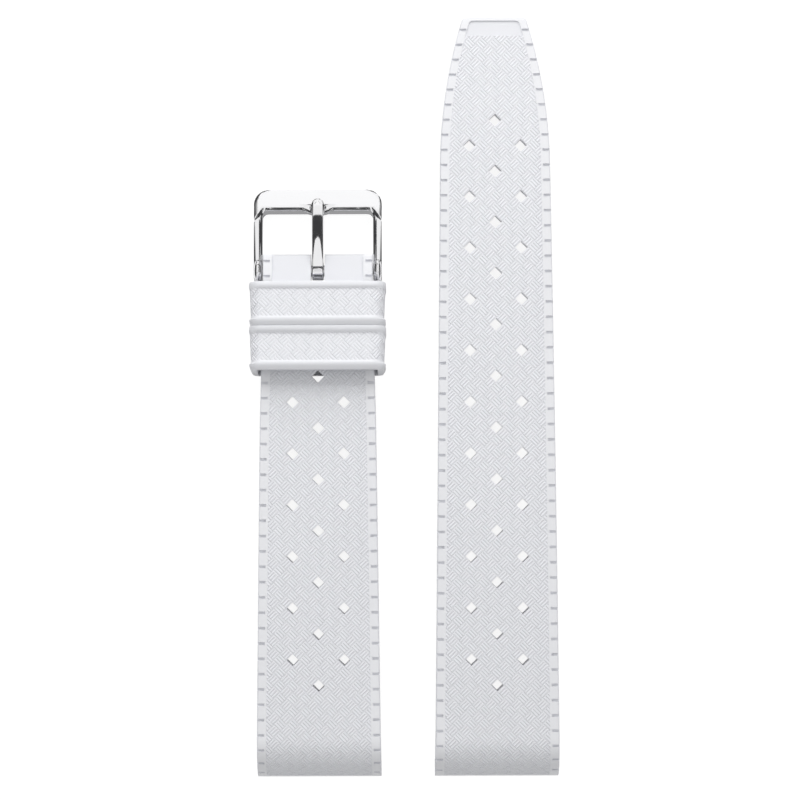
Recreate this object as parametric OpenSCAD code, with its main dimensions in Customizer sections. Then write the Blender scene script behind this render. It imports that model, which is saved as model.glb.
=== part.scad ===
/* [Strap] */
// Width of both halves at the lug end
lug_w = 20; // [18:1:22]
// Width of the parallel end that the buckle straddles
end_w = 17.7; // [16.5:0.1:18.5]
// Length of the tail half
tail_len = 122.7; // [118:0.5:130]
// Length of the buckle half
short_len = 84.4; // [82:0.5:96]
// Distance between the centre lines of the two halves as they lie
lay_pitch = 28.6; // [26:0.2:40]
// Length of the parallel stretch at the buckle end
parallel_len = 8.4; // [6:0.2:12]

/* [Thickness and side shape] */
// Radius of the rounded nose round the lug bore
nose_r = 1.9; // [1.6:0.1:2.4]
// Radius of the lug bore
lug_bore_r = 0.95; // [0.8:0.05:1.1]
// Radius of the curve that turns the top face down to the nose
hump_r = 7; // [5:0.5:9]
// Height of the top face above the table where it turns down
hump_top = 7; // [6.4:0.1:7.6]
// Thickness of both halves behind the hump
hump_t = 3.4; // [2.8:0.1:4]
// Slope of the underside as it leaves the nose, in degrees
heel_slope = 36; // [30:1:42]
// Thickness of the buckle half where the keepers sit
short_t = 2.7; // [2.4:0.1:3.2]
// Slope at which the buckle half still rises behind the hump, in degrees
short_rise = 1; // [0.2:0.1:1.6]
// Slope at which the buckle half runs down to the buckle, in degrees
short_fall = 2.9; // [2.4:0.1:3.3]
// Thickness of the tail half at its tip
tip_t = 2.3; // [2:0.1:3]
// Slope at which the tail half still rises behind the hump, in degrees
rise_slope = 2.5; // [0:0.1:4]

/* [Tail tip] */
// Width of the blunt end
tip_w = 10.2; // [8:0.2:13]
// Length over which the sides curve in to the blunt end
tip_taper = 21.4; // [16:0.2:26]
// Radius of the blunt end's two corners
tip_corner = 0.8; // [0.4:0.1:1.5]

/* [Border] */
// Width of the plain border round the patterned field
border_w = 1.7; // [1.2:0.1:2.4]
// Depth of the patterned field below the border
field_depth = 0.15; // [0.1:0.05:0.3]
// Distance along the face from one edge notch to the next
notch_pitch = 2.45; // [2.2:0.05:3]
// Distance along the face from the lug end to the first edge notch
first_notch = 0.7; // [0.5:0.05:2]
// Width of an edge notch along the strap
notch_w = 0.4; // [0.3:0.05:0.6]
// Length of an edge notch from the strap's side inwards
notch_len = 1.15; // [0.8:0.05:1.2]
// Depth of an edge notch below the border
notch_depth = 0.35; // [0.2:0.05:0.5]

/* [Perforations] */
// Distance from the lug end to the first hole
first_hole = 15.15; // [12:0.05:17]
// Distance between the holes of the middle column
hole_pitch = 8.25; // [7.4:0.05:8.5]
// Width of a hole from corner to corner
hole_across = 1.85; // [1.2:0.05:2.4]
// Number of holes in the middle column of the tail half
tail_rows = 12; // [6:1:12]
// Number of holes in the middle column of the buckle half
short_rows = 7; // [4:1:7]

/* [Keepers] */
// Length of each keeper along the strap
keeper_len = 6.95; // [5:0.05:8]
// Wall of a keeper between its rims
keeper_wall = 1.2; // [0.9:0.1:1.6]
// Free height inside a keeper, for two layers of strap
keeper_room = 4.8; // [4.4:0.1:5.6]
// Room between the strap's edge and the keeper's side wall
keeper_side = 0.7; // [0.6:0.1:1.2]
// Angle at which the keepers lean on the strap towards the buckle, in degrees
keeper_lean = 6.6; // [3:0.1:8]
// Gap between the strap's underside and the keeper's floor, where they are nearest
keeper_clear = 0.25; // [0.15:0.05:0.4]
// Height that the rims stand proud of the wall
rim_h = 0.25; // [0.1:0.05:0.4]
// Length of each rim
rim_len = 1.1; // [0.8:0.1:1.6]
// Distance from the spring bar's axis back to the first keeper
keeper_park = 2.5; // [2.3:0.1:4]
// Gap between the two parked keepers
keeper_space = 0.1; // [0.05:0.05:1]

/* [Spring bar] */
// Outer radius of the tube
tube_r = 0.9; // [0.75:0.05:0.95]
// Wall of the tube
tube_wall = 0.25; // [0.2:0.05:0.3]
// Gap round the tube in the strap's bore
tube_gap = 0.03; // [0.01:0.01:0.1]
// Radius of a plunger's tip
pin_r = 0.5; // [0.4:0.05:0.55]
// Length of a plunger's tip beyond its collar
pin_len = 1.05; // [0.8:0.05:1.2]
// Thickness of a plunger's collar
collar_t = 0.25; // [0.2:0.05:0.4]
// Distance that a plunger is pressed in to free the bar
press = 1.1; // [0.9:0.05:1.3]
// Length of a plunger's head inside the tube
head_len = 0.7; // [0.5:0.1:1]
// Gap round a plunger's head in the tube
head_gap = 0.05; // [0.02:0.01:0.08]
// Gap between a plunger's collar and the arm of the frame
collar_gap = 0.07; // [0.03:0.01:0.15]
// Thickness of the crimped lip at each end of the tube
lip_t = 0.25; // [0.15:0.05:0.4]
// Gap between the lip and what it holds and stops
lip_gap = 0.03; // [0.02:0.01:0.06]
// Diameter of the spring's wire
wire_d = 0.2; // [0.14:0.02:0.22]
// Number of turns in the spring
coil_turns = 20; // [12:1:24]
// Thickness of strap above and below the bar's axis
end_r = 2; // [1.8:0.1:2.2]
// Distance from the bar's axis to the end of the strap
end_over = 2.7; // [2.4:0.1:3.2]

/* [Buckle frame] */
// Width of each arm
arm_w = 1.35; // [1:0.05:1.8]
// Gap between each arm and the strap's end
frame_gap = 0.1; // [0.05:0.05:0.3]
// Thickness of the bowed frame
frame_t = 2.2; // [1.8:0.1:2.6]
// Radius of the frame's bow
bow_r = 24; // [18:1:40]
// Distance from the bar's axis to the front edge
frame_reach = 12.9; // [11.5:0.1:15]
// Depth of the front bar's top face
bar_depth = 3.05; // [2.4:0.05:3.6]
// Tilt of the front bar's inner face, in degrees
bar_tilt = 24; // [15:1:30]
// Radius of the two front corners
front_corner = 2.4; // [1.5:0.1:3]
// Radius of the round lug at the end of each arm
arm_lug_r = 2; // [1.6:0.1:2.1]
// Gap round a plunger's tip in its hole
pin_gap = 0.06; // [0.02:0.01:0.1]
// Depth of the seat for the tongue's tip
seat_depth = 0.45; // [0.2:0.05:0.6]
// Radius of the seat's hollow
seat_r = 3.5; // [2.5:0.1:5]
// Gap between the tongue and its seat
seat_gap = 0.1; // [0.05:0.01:0.15]

/* [Tongue] */
// Width of the tongue
tongue_w = 1.8; // [1.4:0.1:2.2]
// Thickness of the tongue
tongue_t = 1.05; // [0.8:0.05:1.2]
// Radius of the tongue's bow
tongue_bow = 21.5; // [20:0.5:24]
// Distance from the bar's axis to the tongue's tip
tongue_reach = 11.3; // [10.9:0.1:11.6]
// Outer radius of the tongue's eye
eye_r = 1.5; // [1.3:0.05:1.6]
// Gap between the tongue's eye and the tube
eye_gap = 0.07; // [0.03:0.01:0.1]
// Room on each side of the tongue in the strap's slot
slot_side = 0.2; // [0.1:0.05:0.4]
// Distance that the slot runs back from the bar's axis
slot_back = 4.8; // [4.4:0.1:5.4]

/* [Hidden] */
$fn = 96;
rubber = "whitesmoke";
steel = "silver";

// Places of the two halves: the whole stands centred on the origin
keeper_inner_w = end_w + 2 * keeper_side;
keeper_outer_w = keeper_inner_w + 2 * (keeper_wall + rim_h);
short_x = -(lay_pitch + lug_w / 2 - keeper_outer_w / 2) / 2;
tail_x = short_x + lay_pitch;
lug_y = -tail_len / 2;

// The straight stretch of the buckle half, seen from the bar's axis and turned with the leaning keepers
keeper_tilt = short_fall + keeper_lean;
under_drop = end_r * cos(short_fall) + (end_over - end_r + end_r * sin(short_fall)) * tan(short_fall) - short_t;
function under_q(p) = under_drop * cos(keeper_tilt) + (p + under_drop * sin(keeper_tilt)) * tan(keeper_lean);

// The first keeper's floor clears the strap at its back end, and its front end stands on the table
floor_q = under_q(-keeper_park - keeper_len) - keeper_clear;
bar_z = (keeper_wall + rim_h - floor_q) * cos(keeper_tilt) - keeper_park * sin(keeper_tilt);
bar_s = short_len - end_over;
bar_y = lug_y + bar_s;
tall = 2 * hump_top;

// Centre of the hump's curve, level with the height where the top face is highest
hump_z = hump_top - hump_r;
hump_s = nose_r + sqrt(pow(hump_r - nose_r, 2) - pow(nose_r - hump_z, 2));
meet_a = atan2(nose_r - hump_z, nose_r - hump_s);

// Shapes that both halves share
function arc(c, r, a0, a1, n) = [for (i = [0:n]) c + r * [cos(a0 + (a1 - a0) * i / n), sin(a0 + (a1 - a0) * i / n)]];
function turned(list) = [for (i = [len(list) - 1:-1:0]) list[i]];
function mirrored(list) = [for (i = [len(list) - 1:-1:0]) [-list[i][0], list[i][1]]];
function lowered(list, d) = [for (p = list) [p[0], p[1] - d]];
nose = arc([nose_r, nose_r], nose_r, -90 + heel_slope, -270 + (meet_a - 90), 12);

// Top face of the buckle half: hump, a long arch, then straight down to the round end
end_c = [short_len - end_r, bar_z];
end_top = end_c + end_r * [sin(short_fall), cos(short_fall)];
short_from = [hump_s, hump_z] + hump_r * [-sin(short_rise), cos(short_rise)];
turn_s = (end_top[1] - short_from[1] + end_top[0] * tan(short_fall) + short_from[0] * tan(short_rise))
         / (tan(short_rise) + tan(short_fall));
short_r = (turn_s - short_from[0]) / cos(short_rise) / tan((short_rise + short_fall) / 2);
short_c = short_from + short_r * [sin(short_rise), -cos(short_rise)];
short_hump = arc([hump_s, hump_z], hump_r, meet_a, 90 + short_rise, 14);
short_curve = arc(short_c, short_r, 90 + short_rise, 90 - short_fall, 16);
short_top = concat(short_hump, short_curve, [end_top]);

// Top face of the tail half: hump, then one long arch down to the tip
arch_s = hump_s - hump_r * sin(rise_slope);
arch_z = hump_z + hump_r * cos(rise_slope);
arch_drop = atan2(arch_z - tip_t, tail_len - arch_s);
arch_turn = 2 * (rise_slope + arch_drop);
arch_r = norm([tail_len - arch_s, arch_z - tip_t]) / (2 * sin(arch_turn / 2));
arch_c = [arch_s + arch_r * sin(rise_slope), arch_z - arch_r * cos(rise_slope)];
tail_hump = arc([hump_s, hump_z], hump_r, meet_a, 90 + rise_slope, 14);
tail_curve = arc(arch_c, arch_r, 90 + rise_slope, 90 + rise_slope - arch_turn, 24);
tail_top = concat(tail_hump, tail_curve);

// Underside: the top curve lowered by a thickness that falls evenly along the half
function heel_s(z) = nose_r + nose_r * sin(heel_slope) + (z - nose_r + nose_r * cos(heel_slope)) / tan(heel_slope);
heel_z = hump_top - hump_t;
heel_end = heel_s(heel_z);
function under(curve, t_far) =
    [for (p = curve) if (p[0] > heel_end + 1)
        [p[0], p[1] - hump_t - (t_far - hump_t) * (p[0] - heel_end) / (curve[len(curve) - 1][0] - heel_end)]];
tail_under = under(tail_curve, tip_t);
short_under = under(short_curve, short_t);

// The thicker end round the spring bar: its foot runs up to the underside just before the first keeper
foot_len = 1.3;
foot_room = 0.6;
foot_s = bar_s - keeper_park + foot_room;
end_round = arc(end_c, end_r, 90 - short_fall, -90, 20);
end_foot = [[foot_s + foot_len, bar_z - end_r],
            [foot_s, bar_z + under_drop + (bar_s - foot_s) * tan(short_fall)]];

short_side = concat(short_top, end_round, end_foot, turned(short_under), [[heel_end, heel_z]], nose);
tail_side = concat(tail_top, turned(tail_under), [[heel_end, heel_z]], nose);

// Plan outlines, right-hand side first
tip_s = tail_len - tip_taper;
tip_in = (end_w - tip_w) / 2;
tip_r = (tip_taper * tip_taper + tip_in * tip_in) / (2 * tip_in);
tip_c = [end_w / 2 - tip_r, tip_s];
function tip_turn(inset) = asin((tip_taper - inset - tip_corner) / (tip_r - inset - tip_corner));
function corner_c(inset) = tip_c + (tip_r - inset - tip_corner) * [cos(tip_turn(inset)), sin(tip_turn(inset))];
function tail_right(inset) =
    concat([[lug_w / 2 - inset, 0]],
           arc(tip_c, tip_r - inset, 0, tip_turn(inset), 16),
           arc(corner_c(inset), tip_corner, tip_turn(inset), 90, 4));
function short_right(inset) =
    [[lug_w / 2 - inset, 0], [end_w / 2 - inset, short_len - parallel_len], [end_w / 2 - inset, short_len - inset]];

// Frame of the buckle: a bowed band that runs from the bar's axis down to the table
front_rough = atan2(bar_z - frame_t / 2, frame_reach - frame_t / 4);
front_turn = asin((frame_reach - frame_t / 4) / cos(front_rough) / (2 * bow_r));
front_z = frame_t / 2 * cos(front_rough + front_turn);
front_y = frame_reach - frame_t / 2 * sin(front_rough + front_turn);
chord_a = atan2(bar_z - front_z, front_y);
half_turn = asin(norm([front_y, bar_z - front_z]) / (2 * bow_r));
bow_start = half_turn - chord_a;
bow_end = half_turn + chord_a;
bow_c = [bow_r * sin(bow_start), bar_z - bow_r * cos(bow_start)];
frame_in = end_w / 2 + frame_gap;
frame_out = frame_in + arm_w;
function band_top(y) = bow_c[1] + sqrt(pow(bow_r + frame_t / 2, 2) - pow(y - bow_c[0], 2));
bar_in = frame_reach - bar_depth;

// Tongue: a bowed strip whose tip lies in the seat on the front bar
seat_slope = asin((tongue_reach - bow_c[0]) / (bow_r + frame_t / 2));
tongue_tip_z = band_top(tongue_reach) - seat_depth + seat_gap;
tongue_c = [tongue_reach - tongue_bow * sin(seat_slope), tongue_tip_z - tongue_bow * cos(seat_slope)];
tongue_root = 0.85;
tongue_rise = asin((tongue_c[0] - tongue_root) / tongue_bow);
seat_y = (tongue_reach + bar_in) / 2;
seat_a = asin((seat_y - tongue_c[0]) / tongue_bow);
seat_sag = seat_r - sqrt(seat_r * seat_r - tongue_w * tongue_w / 4);
seat_z = tongue_c[1] + tongue_bow * cos(seat_a) - (seat_gap + seat_sag) / cos(seat_a);

// Plungers, measured outwards along the bar from its middle
collar_out = frame_in - collar_gap;
collar_in = collar_out - collar_t;
tube_end = collar_in - press - lip_gap;
neck_r = pin_r - lip_gap;
head_out = tube_end - lip_t - lip_gap;
head_in = head_out - head_len;
bore_r = tube_r - tube_wall;
coil_r = bore_r - 2 * head_gap - wire_d / 2;
coil_half = head_in - head_gap - wire_d / 2;

module side_slab(points) {
    rotate([90, 0, 90])
        translate([0, 0, -lug_w])
            linear_extrude(2 * lug_w)
                polygon(points);
}

module along_x(r, length) {
    rotate([0, 90, 0])
        cylinder(r = r, h = length, center = true);
}

module perforation() {
    rotate([0, 0, 45])
        cube([hole_across / sqrt(2), hole_across / sqrt(2), 4 * tall], center = true);
}

module perforations(rows) {
    for (i = [0:rows - 1])
        translate([0, first_hole + i * hole_pitch, 0])
            perforation();
    for (i = [0:rows - 2])
        for (side = [-1, 1])
            translate([side * hole_pitch / 2, first_hole + (i + 0.5) * hole_pitch, 0])
                perforation();
}

// Everything higher than a given depth below the top face
module above(top, depth) {
    far = top[len(top) - 1][0] + end_over;
    side_slab(concat(lowered(top, depth), [[far, top[len(top) - 1][1] - depth], [far, tall], [0, tall]]));
}

// Place along the strap of a point at a given distance along its face, which curls down at the hump
function along(v) = v > hump_s ? v : hump_s - hump_r * sin((hump_s - v) / hump_r * 180 / PI);

// Bars across the strap, left only outside the inner outline
module edge_notches(length, inner_right) {
    difference() {
        for (i = [0:floor((length - first_notch - notch_len) / notch_pitch)])
            translate([-lug_w, along(first_notch + i * notch_pitch) - notch_w / 2, 0])
                cube([2 * lug_w, notch_w, tall]);
        translate([0, 0, -1])
            linear_extrude(tall + 2)
                polygon(concat(inner_right, mirrored(inner_right)));
    }
}

// One half of the strap, from its side shape, its plan outline and two smaller outlines inside that
module half_strap(side, top, length, right, field_right, notch_right, rows) {
    difference() {
        intersection() {
            side_slab(side);
            linear_extrude(tall)
                polygon(concat(right, mirrored(right)));
        }
        intersection() {
            above(top, field_depth);
            linear_extrude(tall)
                intersection() {
                    polygon(concat(field_right, mirrored(field_right)));
                    translate([-lug_w, border_w])
                        square([2 * lug_w, length]);
                }
        }
        intersection() {
            above(top, notch_depth);
            edge_notches(length, notch_right);
        }
        perforations(rows);
        translate([0, nose_r, nose_r])
            along_x(lug_bore_r, 2 * lug_w);
    }
}

module buckle_strap() {
    color(rubber)
        translate([short_x, lug_y, 0])
            difference() {
                half_strap(short_side, short_top, short_len, short_right(0), short_right(border_w),
                           short_right(notch_len), short_rows);
                translate([0, bar_s, bar_z])
                    along_x(tube_r + tube_gap, 2 * lug_w);
                translate([-tongue_w / 2 - slot_side, bar_s - slot_back, -1])
                    cube([tongue_w + 2 * slot_side, slot_back + end_over + 1, tall]);
            }
}

module tail_strap() {
    color(rubber)
        translate([tail_x, lug_y, 0])
            half_strap(tail_side, tail_top, tail_len, tail_right(0), tail_right(border_w),
                       tail_right(notch_len), tail_rows);
}

module rounded_rect(w, h, r) {
    square([w - 2 * r, h], center = true);
    square([w, h - 2 * r], center = true);
    for (x = [-1, 1])
        for (z = [-1, 1])
            translate([x * (w / 2 - r), z * (h / 2 - r)])
                circle(r);
}

// A moulded loop with a raised rim at each end, moved back along the strap by the given distance
module keeper(back) {
    out_w = keeper_inner_w + 2 * keeper_wall;
    out_h = keeper_room + 2 * keeper_wall;
    color(rubber)
        translate([short_x, bar_y, bar_z])
            rotate([-keeper_tilt, 0, 0])
                translate([0, -keeper_park - back, floor_q + keeper_room / 2 - back * tan(keeper_lean)])
                    rotate([90, 0, 0])
                        difference() {
                            union() {
                                linear_extrude(keeper_len)
                                    rounded_rect(out_w, out_h, 1.6);
                                for (z = [0, keeper_len - rim_len])
                                    translate([0, 0, z])
                                        linear_extrude(rim_len)
                                            rounded_rect(out_w + 2 * rim_h, out_h + 2 * rim_h, 1.6 + rim_h);
                            }
                            translate([0, 0, -1])
                                linear_extrude(keeper_len + 2)
                                    rounded_rect(keeper_inner_w, keeper_room, 0.6);
                        }
}

module upper_keeper() {
    keeper(0);
}

module lower_keeper() {
    keeper(keeper_len + keeper_space);
}

// Plan of the frame's outside: square at the lugs, round at the front corners
module frame_plan() {
    right = concat([[frame_out, -arm_lug_r]],
                   arc([frame_out - front_corner, frame_reach - front_corner], front_corner, 0, 90, 12));
    polygon(concat(right, mirrored(right)));
}

// Side view of the frame: the band and the round lug
module frame_side() {
    far = 3 * bow_r;
    translate([0, bar_z])
        circle(arm_lug_r);
    intersection() {
        difference() {
            translate(bow_c)
                circle(bow_r + frame_t / 2, $fn = 360);
            translate(bow_c)
                circle(bow_r - frame_t / 2, $fn = 360);
        }
        polygon([bow_c, bow_c + far * [-sin(bow_start), cos(bow_start)], bow_c + far * [sin(bow_end), cos(bow_end)]]);
    }
}

// Window inside the frame, with a swelling in the front bar that carries the tongue's seat
module frame_window() {
    fillet = 0.9;
    right = concat([[frame_in, -3 * frame_reach]],
                   arc([frame_in - fillet, -fillet], fillet, 0, 90, 6),
                   [[2.8, 0], [1.9, -0.25], [1.2, -0.7]]);
    translate([0, bar_in, band_top(bar_in)])
        rotate([-bar_tilt, 0, 0])
            translate([0, 0, -4 * frame_reach])
                linear_extrude(8 * frame_reach)
                    polygon(concat(right, mirrored(right)));
}

module buckle_frame() {
    color(steel)
        translate([short_x, bar_y, 0])
            difference() {
                intersection() {
                    rotate([90, 0, 90])
                        translate([0, 0, -frame_out])
                            linear_extrude(2 * frame_out)
                                frame_side();
                    translate([0, 0, -1])
                        linear_extrude(tall)
                            frame_plan();
                }
                frame_window();
                translate([0, seat_y, seat_z])
                    rotate([-seat_a, 0, 0])
                        translate([0, -2 * bar_depth, seat_r])
                            rotate([-90, 0, 0])
                                cylinder(r = seat_r, h = 2 * bar_depth + tongue_reach - seat_y + 0.4);
                translate([0, 0, bar_z])
                    along_x(pin_r + pin_gap, 3 * frame_out);
            }
}

module tongue() {
    seam = 0.22;
    color(steel)
        translate([short_x, bar_y, 0])
            difference() {
                intersection() {
                    rotate([90, 0, 90])
                        translate([0, 0, -tongue_w / 2])
                            linear_extrude(tongue_w)
                                tongue_side();
                    linear_extrude(tall)
                        union() {
                            translate([-tongue_w / 2, -2 * eye_r])
                                square([tongue_w, 2 * eye_r + tongue_reach - tongue_w / 2]);
                            translate([0, tongue_reach - tongue_w / 2])
                                circle(tongue_w / 2);
                        }
                }
                translate([0, 0, bar_z])
                    along_x(tube_r + eye_gap, 2 * tongue_w);
                translate([-tongue_w, -seam / 2, bar_z + eye_r - seam])
                    cube([2 * tongue_w, seam, eye_r]);
            }
}

// Side view of the tongue: the eye and the bowed strip
module tongue_side() {
    far = 3 * tongue_bow;
    translate([0, bar_z])
        circle(eye_r);
    intersection() {
        difference() {
            translate(tongue_c)
                circle(tongue_bow + tongue_t, $fn = 360);
            translate(tongue_c)
                circle(tongue_bow, $fn = 360);
        }
        polygon([tongue_c, tongue_c + far * [-sin(tongue_rise), cos(tongue_rise)],
                 tongue_c + far * [sin(seat_slope), cos(seat_slope)]]);
    }
}

module spring_bar_tube() {
    color(steel)
        translate([short_x, bar_y, bar_z])
            difference() {
                along_x(tube_r, 2 * tube_end);
                along_x(bore_r, 2 * (tube_end - lip_t));
                along_x(neck_r + lip_gap, 3 * tube_end);
            }
}

// The compression spring inside the tube, one unbroken round wire
module spring_bar_coil() {
    sides = 6;
    steps = 8 * coil_turns;
    function at(i) = [-coil_half + 2 * coil_half * i / steps, coil_r * cos(45 * i), coil_r * sin(45 * i)];
    function wire_point(i, k) =
        at(i) + wire_d / 2 * (cos(60 * k) * [0, cos(45 * i), sin(45 * i)] + sin(60 * k) * [1, 0, 0]);
    points = [for (i = [0:steps]) for (k = [0:sides - 1]) wire_point(i, k)];
    walls = [for (i = [0:steps - 1]) for (k = [0:sides - 1])
                let (a = i * sides + k, b = i * sides + (k + 1) % sides)
                    for (f = [[a, b, b + sides], [a, b + sides, a + sides]]) f];
    first_end = [for (k = [2:sides - 1]) [0, k, k - 1]];
    last_end = [for (k = [2:sides - 1]) [steps * sides, steps * sides + k - 1, steps * sides + k]];
    color(steel)
        translate([short_x, bar_y, bar_z])
            polyhedron(points, concat(walls, first_end, last_end));
}

// A plunger: head inside the tube, neck through its crimped lip, collar and tip outside
module plunger(side) {
    color(steel)
        translate([short_x, bar_y, bar_z])
            rotate([0, side * 90, 0]) {
                translate([0, 0, head_in])
                    cylinder(r = bore_r - head_gap, h = head_len);
                translate([0, 0, head_in])
                    cylinder(r = neck_r, h = collar_out - head_in);
                translate([0, 0, collar_in])
                    cylinder(r = tube_r - 2 * tube_gap, h = collar_t);
                translate([0, 0, collar_in])
                    cylinder(r = pin_r, h = collar_t + pin_len);
            }
}

module left_plunger() {
    plunger(-1);
}

module right_plunger() {
    plunger(1);
}

buckle_strap();
tail_strap();
upper_keeper();
lower_keeper();
buckle_frame();
tongue();
spring_bar_tube();
spring_bar_coil();
left_plunger();
right_plunger();
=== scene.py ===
import math

import bmesh
import bpy
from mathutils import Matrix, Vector


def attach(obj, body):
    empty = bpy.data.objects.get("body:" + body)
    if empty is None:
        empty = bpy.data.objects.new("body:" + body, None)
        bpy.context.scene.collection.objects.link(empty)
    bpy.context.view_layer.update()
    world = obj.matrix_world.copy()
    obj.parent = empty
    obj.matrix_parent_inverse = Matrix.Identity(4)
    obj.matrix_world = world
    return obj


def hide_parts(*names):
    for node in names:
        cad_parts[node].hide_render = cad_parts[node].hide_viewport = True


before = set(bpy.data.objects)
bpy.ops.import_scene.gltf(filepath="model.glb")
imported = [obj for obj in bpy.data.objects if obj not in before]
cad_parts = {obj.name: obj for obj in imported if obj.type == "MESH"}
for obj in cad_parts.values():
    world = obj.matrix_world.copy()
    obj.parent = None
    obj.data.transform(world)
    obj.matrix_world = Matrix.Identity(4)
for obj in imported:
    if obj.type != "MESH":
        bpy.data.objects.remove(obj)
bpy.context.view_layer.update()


# ---- table, light and camera ----
# The strap lies on a white sheet of paper and is seen from straight above. One soft box hangs beyond the buckle, the
# pale room lights the rest, and cards that only the steel mirrors give it its dark lines.
class Wire:
    """An output of a shader node. Adding and multiplying it makes Math nodes."""

    def __init__(self, tree, socket=None):
        self.tree = tree
        self.socket = socket

    def node(self, kind, settings=None, values=None, output=0):
        """Adds a node with its own settings and the values of its inputs, and returns one of its outputs."""
        made = self.tree.nodes.new("ShaderNode" + kind)
        for name, value in (settings or {}).items():
            if name == "stops":
                for stop, (place, colour) in zip(made.color_ramp.elements, value):
                    stop.position = place
                    stop.color = colour
            else:
                setattr(made, name, value)
        for name, value in (values or {}).items():
            if isinstance(value, Wire):
                self.tree.links.new(value.socket, made.inputs[name])
            else:
                made.inputs[name].default_value = value
        return Wire(self.tree, made.outputs[output])

    def __add__(self, other):
        return self.node("Math", {"operation": "ADD"}, {0: self, 1: other})

    __radd__ = __add__

    def __mul__(self, other):
        return self.node("Math", {"operation": "MULTIPLY"}, {0: self, 1: other})

    __rmul__ = __mul__


def new_material(name):
    """A material with its Principled shader, and a wire to start nodes from."""
    material = bpy.data.materials.new(name)
    material.use_nodes = True
    tree = material.node_tree
    return material, Wire(tree), tree.nodes["Principled BSDF"]


def link(wire, shader, socket):
    wire.tree.links.new(wire.socket, shader.inputs[socket])


def seen_rays(wire):
    """1 on the rays that show a thing, straight on, in a mirror or through glass, and 0 on those that light others."""
    kinds = ("Is Camera Ray", "Is Glossy Ray", "Is Transmission Ray")
    straight, mirrored, through = [wire.node("LightPath", output=kind) for kind in kinds]
    return straight + mirrored + through


scene = bpy.context.scene
scene.view_settings.view_transform = "Standard"

bpy.ops.object.select_all(action="DESELECT")
bpy.ops.mesh.primitive_plane_add(size=3)
table = bpy.context.active_object
table.name = "table"
paper, wire, shader = new_material("white_paper")
shader.inputs["Base Color"].default_value = (0.25, 0.25, 0.25, 1)
shader.inputs["Roughness"].default_value = 0.9
shader.inputs["Specular IOR Level"].default_value = 0.1
shader.inputs["Emission Color"].default_value = (1, 1, 1, 1)
paper_glow = 0.89
link(paper_glow * seen_rays(wire), shader, "Emission Strength")
table.data.materials.append(paper)

room = bpy.data.worlds.new("room")
scene.world = room
room.use_nodes = True
wire = Wire(room.node_tree)
sky = room.node_tree.nodes["Background"]
room_light = 0.61
link(room_light + (1 - room_light) * seen_rays(wire), sky, "Strength")
sky.inputs["Color"].default_value = (1, 1, 1, 1)

bpy.ops.object.light_add(type="AREA", location=(0, 0.5, 0.28))
soft_box = bpy.context.active_object
soft_box.name = "far_soft_box"
soft_box.data.shape = "RECTANGLE"
soft_box.data.size = 0.8
soft_box.data.size_y = 0.4
soft_box.data.energy = 2.6
soft_box.rotation_euler = (Vector() - soft_box.location).to_track_quat("-Z", "Y").to_euler()
soft_box.visible_glossy = False


def card_paint(name, glow, strength, shine):
    """Paint that shines by itself, so that a card looks the same from wherever it is mirrored."""
    material, wire, shader = new_material(name)
    shader.inputs["Base Color"].default_value = (0.02, 0.02, 0.02, 1)
    shader.inputs["Specular IOR Level"].default_value = shine
    shader.inputs["Emission Color"].default_value = glow
    shader.inputs["Emission Strength"].default_value = strength
    return material, wire, shader


def flag(name, place, turn, width, height, paint, notch=0):
    """A card that only mirrors show. A notch cuts a point into its near side."""
    bpy.ops.object.select_all(action="DESELECT")
    bpy.ops.mesh.primitive_plane_add(size=1)
    bpy.ops.object.mode_set(mode="EDIT")
    bpy.ops.mesh.bisect(plane_co=(0, 0, 0), plane_no=(1, 0, 0))
    bpy.ops.object.mode_set(mode="OBJECT")
    card = bpy.context.active_object
    card.name = name
    for point in card.data.vertices:
        if abs(point.co.x) < 0.01 and point.co.y < 0:
            point.co.y += notch
    card.scale = (width, height, 1)
    card.rotation_euler = turn
    card.location = place
    card.data.materials.append(paint)
    card.visible_camera = False
    card.visible_diffuse = False
    card.visible_transmission = False
    card.visible_shadow = False


black_card, wire, shader = card_paint("dark_card", (0, 0, 0, 1), 1, 0)
height = wire.node("SeparateXYZ", values={0: wire.node("NewGeometry")}, output=2)
fade = wire.node("ValToRGB", {"stops": ((0.5, (0.045, 0.045, 0.047, 1)), (1.0, (0.9, 0.9, 0.9, 1)))}, {0: height})
link(fade, shader, "Emission Color")
painted_shadow_card = card_paint("painted_shadow_card", (0.36, 0.36, 0.365, 1), 1, 0)[0]
painted_box_reflection = card_paint("painted_box_reflection", (1, 1, 1, 1), 1.1, 0.5)[0]
lying = (0, 0, 0)
crosswise = (math.pi / 2, 0, 0)
lengthwise = (math.pi / 2, 0, math.pi / 2)
# The soft box is hidden from mirrors; in its place a glowing card, which is no lamp, paints the soft box's reflection
# in the steel, less bright than the lamp itself
flag("box_reflection_card", soft_box.location, soft_box.rotation_euler, 0.5, 0.4, painted_box_reflection)
flag("left_flag", (-0.5, 0, 0.5), lengthwise, 2.6, 1.0, black_card)
flag("right_flag", (0.5, 0, 0.5), lengthwise, 2.6, 1.0, black_card)
flag("near_flag", (0, -0.5, 0.5), crosswise, 1.0, 1.0, black_card)
flag("far_flag", (0, 0.9, 0.2), crosswise, 2.0, 0.4, black_card)
# Over the buckle hang a card that is notched for the tongue and a narrow strip on each side of it
buckle_x = -0.0138
over_y = 0.02855
over_len = 0.0153
flag("tongue_flag", (-0.0141, over_y, 0.0155), lying, 0.013, over_len, black_card, 0.477)
for side in (-1, 1):
    flag("bar_flag", (buckle_x + side * 0.00735, over_y, 0.0156), lying, 0.0019, over_len, black_card)
# A grey card lying on the table round the buckle, seen only by the steel, is painted shadow: the frame's lower edges
# mirror it as the table's shade beneath them
flag("shade_flag", (buckle_x, 0.0275, 0.0001), lying, 0.03, 0.022, painted_shadow_card)

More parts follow.
